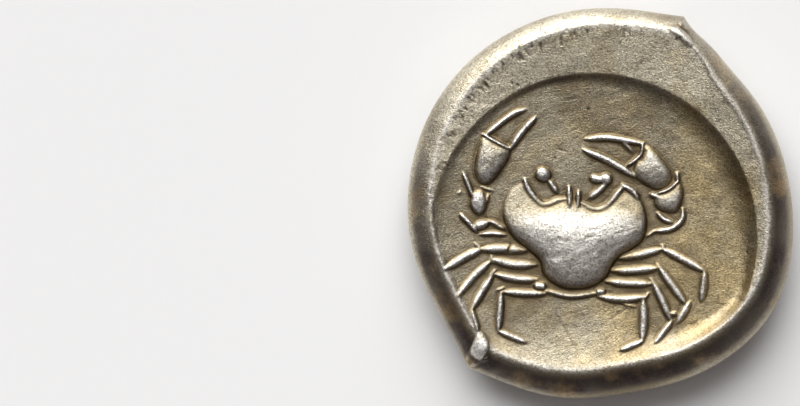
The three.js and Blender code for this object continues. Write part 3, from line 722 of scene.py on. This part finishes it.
net_line = np.linspace(-1, 1, NET)
net_u, net_v = np.meshgrid(net_line, net_line)
wide = np.abs(net_u) > np.abs(net_v)
safe_u = np.where(net_u == 0, 1, net_u)
safe_v = np.where(net_v == 0, 1, net_v)
net_out = np.maximum(np.abs(net_u), np.abs(net_v))
angle = np.where(wide, math.pi / 4 * net_v / safe_u, math.pi / 2 - math.pi / 4 * net_u / safe_v)
angle = angle + np.where(np.where(wide, net_u, net_v) < 0, math.pi, 0)
bearing = np.degrees(angle)

# The solid is centred on its box, not on the flan's axis, so the skin is moved over by as much.
circle = np.radians(np.arange(0, 360, 0.5))
outline = flan_reach(np.degrees(circle)) * np.array([np.cos(circle), np.sin(circle)])
middle = (outline.min(1) + outline.max(1)) / 2


def smooth_net(level):
    """Rounds off the creases between the rim's crest, its lip and the wall, as wear has."""
    for _ in range(CREASE_ROUNDS):
        inner = level[1:-1, 1:-1]
        around = level[:-2, 1:-1] + level[2:, 1:-1] + level[1:-1, :-2] + level[1:-1, 2:]
        level = level.copy()
        level[1:-1, 1:-1] = inner * 0.5 + around * 0.125
    return level


def face_skin(width, face_level, crease, form, relief_at, sign):
    """Points of one face. form(bearing, distance) is its level inside its shoulder."""
    inner = np.minimum(net_out / FACE_SHARE, 1)
    turn = 90 * np.clip((net_out - FACE_SHARE) / (1 - FACE_SHARE), 0, 1)
    reach, level = shoulder(bearing, turn, width, face_level, crease)
    distance = np.where(turn > 0, reach, reach * inner)
    level = np.where(turn > 0, level, form(bearing, distance))
    level[1:-1, 1:-1] = smooth_net(level)[1:-1, 1:-1]
    x, y = distance * np.cos(angle), distance * np.sin(angle)
    hold = np.cos(np.radians(turn))
    return x, y, level + sign * hold * relief_at(x, y)


def crab_side(x, y):
    return sample(crab_relief + crab_uneven, x, y)


def on_cock_die(x, y):
    """The place on the cock's die of a point on the coin, seen from above."""
    turn = math.radians(DIE_TURN)
    return x * math.cos(turn) + y * math.sin(turn), x * math.sin(turn) - y * math.cos(turn)


def cock_side(x, y):
    return sample(cock_relief + cock_uneven * (1 - cock_relief / WORN_TO), *on_cock_die(x, y))


def flat_field(bearing, distance):
    return FIELD_LEVEL + BACK_CONVEXITY * (distance / FLAN_RADIUS) ** 2


rim_shoulder = leaning(*RIM_SHOULDER, bearing)
rim_level = FLOOR_LEVEL + leaning(*RIM_HEIGHT, bearing)
top = face_skin(rim_shoulder, rim_level, leaning(*CREST_CREASE, bearing), rim_form, crab_side, 1)
back_level = flat_field(bearing, flan_reach(bearing, STUB_BLUNTING) - BACK_SHOULDER)
bottom = face_skin(BACK_SHOULDER, back_level, 0, flat_field, cock_side, -1)

index = np.arange(NET * NET).reshape(NET, NET)
border = np.zeros((NET, NET), bool)
border[[0, -1], :] = border[:, [0, -1]] = True
lower = np.full((NET, NET), -1)
lower[~border] = NET * NET + np.arange((~border).sum())
lower[border] = index[border]
points = np.concatenate([np.stack(top, -1).reshape(-1, 3), np.stack(bottom, -1)[~border]])
points[:, :2] -= middle
# The skin keeps a hair's breadth inside the solid's box, and stands on its floor.
low_corner = np.array(cad_low) / MM + np.array([INSIDE_BOX, INSIDE_BOX, 0])
points = np.clip(points, low_corner, np.array(cad_high) / MM - INSIDE_BOX)


def quads(numbers, flipped):
    a, b, c, d = numbers[:-1, :-1], numbers[:-1, 1:], numbers[1:, 1:], numbers[1:, :-1]
    order = (a, d, c, b) if flipped else (a, b, c, d)
    return np.stack(order, -1).reshape(-1, 4)


faces = np.concatenate([quads(index, False), quads(lower, True)])
skin = bpy.data.meshes.new("struck_coin")
skin.from_pydata((points * MM).tolist(), [], faces.tolist())
coin = bpy.data.objects.new("struck_coin", skin)
bpy.context.scene.collection.objects.link(coin)

# The net is finer than MOST_TRIANGLES allows, so flat ground is thinned and relief is not.
thin = coin.modifiers.new("thin", "DECIMATE")
thin.ratio = MOST_TRIANGLES / (2 * len(faces))
bpy.context.view_layer.update()
finished = bpy.data.meshes.new_from_object(coin.evaluated_get(bpy.context.evaluated_depsgraph_get()))
coin.modifiers.clear()
coin.data = finished
finished.name = "struck_coin"
bpy.data.meshes.remove(skin)
finished.shade_smooth()

# Where each point of the skin lies, in millimetres from the flan's axis again.
at = np.empty(len(finished.vertices) * 3, np.float32)
finished.vertices.foreach_get("co", at)
at = at.reshape(-1, 3) / MM + np.array([*middle, 0])
at_bearing = np.degrees(np.arctan2(at[:, 1], at[:, 0]))
at_distance = np.hypot(at[:, 0], at[:, 1])
is_top = at[:, 2] > EDGE_LEVEL

# A flat layout of the skin: each face is a disc, its border drawn out by the length of the shoulder.
# A disc has its centre and radius on the sheet, and the radius stands for a length on the coin.
TOP_SPOT = (0.315, 0.315, 0.305)
BACK_SPOT = (0.735, 0.735, 0.255)
SPOT_RADIUS = 12.6


def spot_places(spot, width, crest):
    """Each point's place in a face's disc."""
    reach, _ = shoulder(at_bearing, 0, width, crest)
    down_the_edge = np.hypot(at_distance - reach, at[:, 2] - crest)
    out = np.where(at_distance > reach, reach + down_the_edge, at_distance)
    way = np.stack([np.cos(np.radians(at_bearing)), np.sin(np.radians(at_bearing))], -1)
    return np.array(spot[:2]) + way * (out / SPOT_RADIUS * spot[2])[:, None]


corner_points = np.empty(len(finished.loops), np.int32)
finished.loops.foreach_get("vertex_index", corner_points)
starts = np.empty(len(finished.polygons), np.int32)
finished.polygons.foreach_get("loop_start", starts)
counts = np.empty(len(finished.polygons), np.int32)
finished.polygons.foreach_get("loop_total", counts)
mean_level = np.add.reduceat(at[corner_points, 2], starts) / counts
on_back = np.repeat(mean_level < EDGE_LEVEL, counts)
crest_level = FLOOR_LEVEL + leaning(*RIM_HEIGHT, at_bearing)
on_top_spot = spot_places(TOP_SPOT, leaning(*RIM_SHOULDER, at_bearing), crest_level)
on_back_spot = spot_places(BACK_SPOT, BACK_SHOULDER, FIELD_LEVEL)
flat = np.where(on_back[:, None], on_back_spot[corner_points], on_top_spot[corner_points])
finished.uv_layers.new(name="OFBake").data.foreach_set("uv", flat.astype(np.float32).ravel())


def hollowness(relief, reach):
    """How far each place lies below the ground within a reach of it."""
    return soften(relief, reach) - relief


def write_values(name, values):
    """Keeps a value for each point of the skin, for the finish to read."""
    values = values.astype(np.float32)
    finished.attributes.new(name, "FLOAT", "POINT").data.foreach_set("value", values)


def share_towards(bearing, power):
    """How far each point lies towards a bearing, from 0 to 1."""
    return (0.5 + 0.5 * np.cos(np.radians(at_bearing - bearing))) ** power


# What the finish follows on each point of the skin. The toning lies in hollows, and the creases get dirt and
# painted shade; both are judged against the ground within a reach, on the crab's side and on the cock's. The
# cock is worn so flat that only its highest patches count as raised.
HOLLOW_REACH = (0.35, 0.45)
CREASE_SHADE_REACH = (0.11, 0.16)
COCK_HOLLOW_SHARE = 0.45
COCK_PATCH_DEPTH = 0.32
GRIME_AND_SHADE_DEPTH = 0.035
on_crab = at[:, 0], at[:, 1]
on_cock = on_cock_die(*on_crab)
crab_hollow = sample(hollowness(crab_relief, HOLLOW_REACH[0]), *on_crab)
cock_hollow = COCK_HOLLOW_SHARE * sample(hollowness(cock_relief, HOLLOW_REACH[1]), *on_cock)
write_values("hollow", np.where(is_top, crab_hollow, cock_hollow))
# The creases get dirt and painted shade.
crab_crease_shade = sample(hollowness(crab_relief, CREASE_SHADE_REACH[0]), *on_crab)
cock_crease_shade = sample(hollowness(cock_relief, CREASE_SHADE_REACH[1]), *on_cock)
write_values("crease", np.where(is_top, crab_crease_shade, cock_crease_shade))
cock_raised = sample(cock_relief, *on_cock) - COCK_PATCH_DEPTH
write_values("raised", np.where(is_top, sample(crab_relief, *on_crab), cock_raised))
write_values("grime_and_shade", np.clip(sample(grime_and_shade, *on_crab) / GRIME_AND_SHADE_DEPTH, 0, 1) * is_top)

# The crest is rubbed bright in a narrow band, less so on the back, and the stub's facet is bright all over.
CREST_RUB_REACH = 0.18
CREST_RUB_INSET = 0.04
CREST_RUB_SHARE = (1, 0.6)
FACET_EDGE = 0.08
shoulder_width = np.where(is_top, leaning(*RIM_SHOULDER, at_bearing), BACK_SHOULDER)
crest_reach, _ = shoulder(at_bearing, 0, shoulder_width, 0)
off_crest = (at_distance - crest_reach + CREST_RUB_INSET) / CREST_RUB_REACH
on_facet = np.clip(sample(stub_facet, *on_crab) / FACET_EDGE, 0, 1) * is_top
crest_rub = np.exp(-(off_crest**2)) * np.where(is_top, *CREST_RUB_SHARE)
write_values("crest", np.maximum(crest_rub, on_facet))

# The edge is painted dark as shade, but not on the side the light comes from, and round its belly the
# painted shade gives way to the pale floor's reflected light.
EDGE_START = 0.3
BELLY_START = 0.68
BELLY_SPREAD = 0.26
BELLY_FLOOR_LIGHT = 0.92
LIT_SIDE_BEARING = 104
LIT_SIDE_POWER = 3.4
BACK_EDGE_SHARE = 0.5
down = (at_distance - crest_reach) / shoulder_width
belly = np.clip((down - BELLY_START) / BELLY_SPREAD, 0, 1)
edge = np.clip(down / EDGE_START, 0, 1) * (1 - BELLY_FLOOR_LIGHT * belly) * (1 - on_facet)
edge_shade_share = np.where(is_top, 1 - share_towards(LIT_SIDE_BEARING, LIT_SIDE_POWER), BACK_EDGE_SHARE)
write_values("edge", edge * edge_shade_share)

# Metal shut in by the rim is duller than the rest, and the rim itself is darker towards one side.
SHUT_IN_START = 0.1
SHUT_IN_SPREAD = 0.3
BACK_SHUT_IN = 0.5
DARKER_RIM_BEARING = -8
DARKER_RIM_POWER = 4
DARKER_RIM_SHARE = 0.85
inside_punch = INCUSE_RADIUS - np.hypot(at[:, 0] - INCUSE_CENTRE[0], at[:, 1] - INCUSE_CENTRE[1])
darker_rim = DARKER_RIM_SHARE * share_towards(DARKER_RIM_BEARING, DARKER_RIM_POWER)
shut_in = np.maximum(np.clip((inside_punch + SHUT_IN_START) / SHUT_IN_SPREAD, 0, 1), darker_rim)
write_values("shut_in", np.where(is_top, shut_in, BACK_SHUT_IN))

# The golden toning grows towards one side of the sunk field.
GOLDEN_BEARING = -12
GOLDEN_POWER = 1.5
GOLDEN_FULL_AT = 6
GOLDEN_START = 0.4
GOLDEN_SPREAD = 0.8
BACK_GOLDEN = 0.4
golden = share_towards(GOLDEN_BEARING, GOLDEN_POWER)
golden = golden * np.clip(at_distance / GOLDEN_FULL_AT, 0, 1) ** GOLDEN_POWER
in_the_field = np.clip((inside_punch + GOLDEN_START) / GOLDEN_SPREAD, 0, 1)
write_values("golden", np.where(is_top, golden, BACK_GOLDEN) * in_the_field)

# The finish: old silver, satin where it was struck and brighter where it was rubbed, with a golden brown
# toning that lies in the hollows, fine grain, specks and scratches, and painted shade on the edge and in
# creases and cuts.
silver = bpy.data.materials.new("old_silver")
silver.use_nodes = True
nodes, links = silver.node_tree.nodes, silver.node_tree.links
surface = nodes["Principled BSDF"]
surface.inputs["Metallic"].default_value = 1.0
place = nodes.new("ShaderNodeTexCoord").outputs["Object"]


def noise(scale, detail, roughness=0.55):
    node = nodes.new("ShaderNodeTexNoise")
    node.inputs["Scale"].default_value = scale
    node.inputs["Detail"].default_value = detail
    node.inputs["Roughness"].default_value = roughness
    links.new(place, node.inputs["Vector"])
    return node.outputs["Fac"]


def ranged(value, low, high, to_low=0.0, to_high=1.0):
    node = nodes.new("ShaderNodeMapRange")
    node.interpolation_type = "SMOOTHSTEP"
    for name, number in (("From Min", low), ("From Max", high), ("To Min", to_low), ("To Max", to_high)):
        node.inputs[name].default_value = number
    links.new(value, node.inputs["Value"])
    return node.outputs["Result"]


def combined(operation, first, second):
    node = nodes.new("ShaderNodeMath")
    node.operation = operation
    for socket, value in zip(node.inputs, (first, second)):
        if isinstance(value, (int, float)):
            socket.default_value = value
        else:
            links.new(value, socket)
    return node.outputs["Value"]


def mixed(share, first, second):
    node = nodes.new("ShaderNodeMix")
    node.data_type = "RGBA"
    links.new(share, node.inputs["Factor"])
    for socket, value in ((node.inputs["A"], first), (node.inputs["B"], second)):
        if isinstance(value, tuple):
            socket.default_value = (*value, 1)
        else:
            links.new(value, socket)
    return node.outputs["Result"]


def carried(name):
    node = nodes.new("ShaderNodeAttribute")
    node.attribute_name = name
    return node.outputs["Fac"]


RUBBED = (0.92, 0.90, 0.86)
HANDLED = (0.83, 0.765, 0.60)
SHELTERED = (0.49, 0.44, 0.33)
GOLDEN = (0.62, 0.49, 0.265)
# Also the painted shade in creases.
TONE_AND_SHADE = (0.21, 0.16, 0.09)
# Painted shade for the edge.
EDGE_SHADE = (0.10, 0.083, 0.085)
EDGE_RUST = (0.40, 0.28, 0.16)
# Also the dirt and painted shade in the cuts.
SPECK_AND_SHADE = (0.12, 0.10, 0.09)

# Toning lies in the hollows and in patches, creases and cuts get dirt and painted shade, the high places are
# rubbed clear of it, and the edge has painted shade with rust-brown patches. Dots and specks go over
# everything.
clouds = noise(420, 3)
toning_patches = ranged(noise(300, 4), 0.46, 0.72, 0, 0.5)
rubbed_patches = ranged(noise(900, 4), 0.3, 0.6, 0.45, 1)
rust_patches = ranged(noise(520, 4), 0.5, 0.68)
edge_patches = ranged(clouds, 0.3, 0.6, 0.75, 1)
dots = ranged(noise(8200, 2), 0.42, 0.68, 0, 0.62)
specks = ranged(noise(6800, 3, 0.7), 0.64, 0.72, 0, 0.8)
in_hollows = ranged(carried("hollow"), -0.01, 0.08, 0, 0.7)
crease_dirt_and_shade = ranged(carried("crease"), 0.004, 0.03, 0, 0.9)
on_ridges = ranged(carried("hollow"), -0.03, -0.09)
on_raised_places = ranged(carried("raised"), 0.2, 0.5, 0, 0.8)
CREST_RUBBING = 0.7
GRIME_AND_SHADE_SHARE = 0.55

colour = mixed(carried("shut_in"), HANDLED, SHELTERED)
gilding = combined("ADD", carried("golden"), ranged(clouds, 0.3, 0.7, -0.5, 0.4))
colour = mixed(combined("MAXIMUM", gilding, 0.0), colour, GOLDEN)
# Toning in the hollows and patches, with dirt and painted shade in the creases.
toning_and_crease_shade = combined("ADD", combined("ADD", in_hollows, toning_patches), crease_dirt_and_shade)
colour = mixed(combined("MINIMUM", toning_and_crease_shade, 1.0), colour, TONE_AND_SHADE)
crest = combined("MULTIPLY", carried("crest"), rubbed_patches)
rubbing = combined("MAXIMUM", on_ridges, on_raised_places)
rubbing = combined("MAXIMUM", rubbing, combined("MULTIPLY", crest, CREST_RUBBING))
colour = mixed(rubbing, colour, RUBBED)
# Painted shade on the edge, with real rust-brown patches in it.
edge_shade_and_rust = mixed(rust_patches, EDGE_SHADE, EDGE_RUST)
colour = mixed(combined("MULTIPLY", carried("edge"), edge_patches), colour, edge_shade_and_rust)
colour = mixed(dots, colour, TONE_AND_SHADE)
colour = mixed(specks, colour, SPECK_AND_SHADE)
# Dirt and painted shade in the cuts.
colour = mixed(combined("MULTIPLY", carried("grime_and_shade"), GRIME_AND_SHADE_SHARE), colour, SPECK_AND_SHADE)
links.new(colour, surface.inputs["Base Color"])

# Rubbed metal is full of hairlines, so the crest scatters more light than the fields.
POLISH = (0.28, 0.4)
CREST_HAIRLINES = 0.22
polish = ranged(noise(1500, 5, 0.6), 0.3, 0.7, *POLISH)
links.new(combined("ADD", polish, combined("MULTIPLY", crest, CREST_HAIRLINES)), surface.inputs["Roughness"])

# The grain of the metal: fine, with some of a coarser one under it.
GRAIN_HEIGHT = 0.034
COARSE_SHARE = 0.7
grain = nodes.new("ShaderNodeBump")
grain.inputs["Strength"].default_value = 1.0
grain.inputs["Distance"].default_value = GRAIN_HEIGHT * MM
coarse_grain = combined("MULTIPLY", noise(3400, 3, 0.6), COARSE_SHARE)
links.new(combined("ADD", noise(13000, 3, 0.65), coarse_grain), grain.inputs["Height"])
links.new(grain.outputs["Normal"], surface.inputs["Normal"])
finished.materials.append(silver)

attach(coin, "root")
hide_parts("coin")

# The table: a plain pale surface, wide enough for a view from any side.
FLOOR_HALF = 4.0
PAPER = (0.97, 0.97, 0.97)
PAPER_ROUGHNESS = 0.9
corners = [(x * FLOOR_HALF, y * FLOOR_HALF, 0) for x, y in ((-1, -1), (1, -1), (1, 1), (-1, 1))]
floor_mesh = bpy.data.meshes.new("floor")
floor_mesh.from_pydata(corners, [], [(0, 1, 2, 3)])
floor = bpy.data.objects.new("floor", floor_mesh)
bpy.context.scene.collection.objects.link(floor)
paper = bpy.data.materials.new("white_paper")
paper.use_nodes = True
paper_surface = paper.node_tree.nodes["Principled BSDF"]
paper_surface.inputs["Base Color"].default_value = (*PAPER, 1)
paper_surface.inputs["Roughness"].default_value = PAPER_ROUGHNESS
floor_mesh.materials.append(paper)

# The light: one broad soft window from the top of the picture, in a room that is dim overhead and
# nearly dark towards the other sides.
WINDOW = (-0.16, 0.82, 0.55)
WINDOW_LIGHT = 4.9
WINDOW_EDGE = (0.72, 0.97)
ROOM_DARK = (0.045, 0.037, 0.043)
ROOM_OVERHEAD = (0.31, 0.295, 0.285)
OVERHEAD_EDGE = (0.5, 1.0)

world = bpy.data.worlds.new("room")
bpy.context.scene.world = world
world.use_nodes = True
nodes, links = world.node_tree.nodes, world.node_tree.links
direction = nodes.new("ShaderNodeTexCoord").outputs["Generated"]


def facing(way, edge):
    """How far a direction in the room points the given way, from 0 to 1."""
    node = nodes.new("ShaderNodeVectorMath")
    node.operation = "DOT_PRODUCT"
    node.inputs[1].default_value = way
    links.new(direction, node.inputs[0])
    return ranged(node.outputs["Value"], *edge)


room = mixed(facing((0, 0, 1), OVERHEAD_EDGE), ROOM_DARK, ROOM_OVERHEAD)
room = mixed(facing(WINDOW, WINDOW_EDGE), room, (WINDOW_LIGHT,) * 3)
links.new(room, nodes["Background"].inputs["Color"])
bpy.context.scene.view_settings.view_transform = "Standard"

# The camera: straight above, where the right-hand disc of the photograph has its place in the frame.
# The photograph's size and the place of the flan's axis in it are in pixels.
PHOTO_WIDTH = 800
PHOTO_HEIGHT = 406
COIN_AT = (599.4, 206.2)
PIXELS_PER_MM = 18.58
LENS = 400
SENSOR_WIDTH = 36
lens = bpy.data.cameras.new("camera")
lens.lens = LENS
lens.sensor_width = SENSOR_WIDTH
camera = bpy.data.objects.new("camera", lens)
across = (PHOTO_WIDTH / 2 - COIN_AT[0]) / PIXELS_PER_MM - middle[0]
upward = (COIN_AT[1] - PHOTO_HEIGHT / 2) / PIXELS_PER_MM - middle[1]
height = PHOTO_WIDTH / PIXELS_PER_MM * LENS / SENSOR_WIDTH + EDGE_LEVEL
camera.location = (across * MM, upward * MM, height * MM)
lens.clip_start = 0.01
lens.clip_end = 20
bpy.context.scene.collection.objects.link(camera)
bpy.context.scene.camera = camera
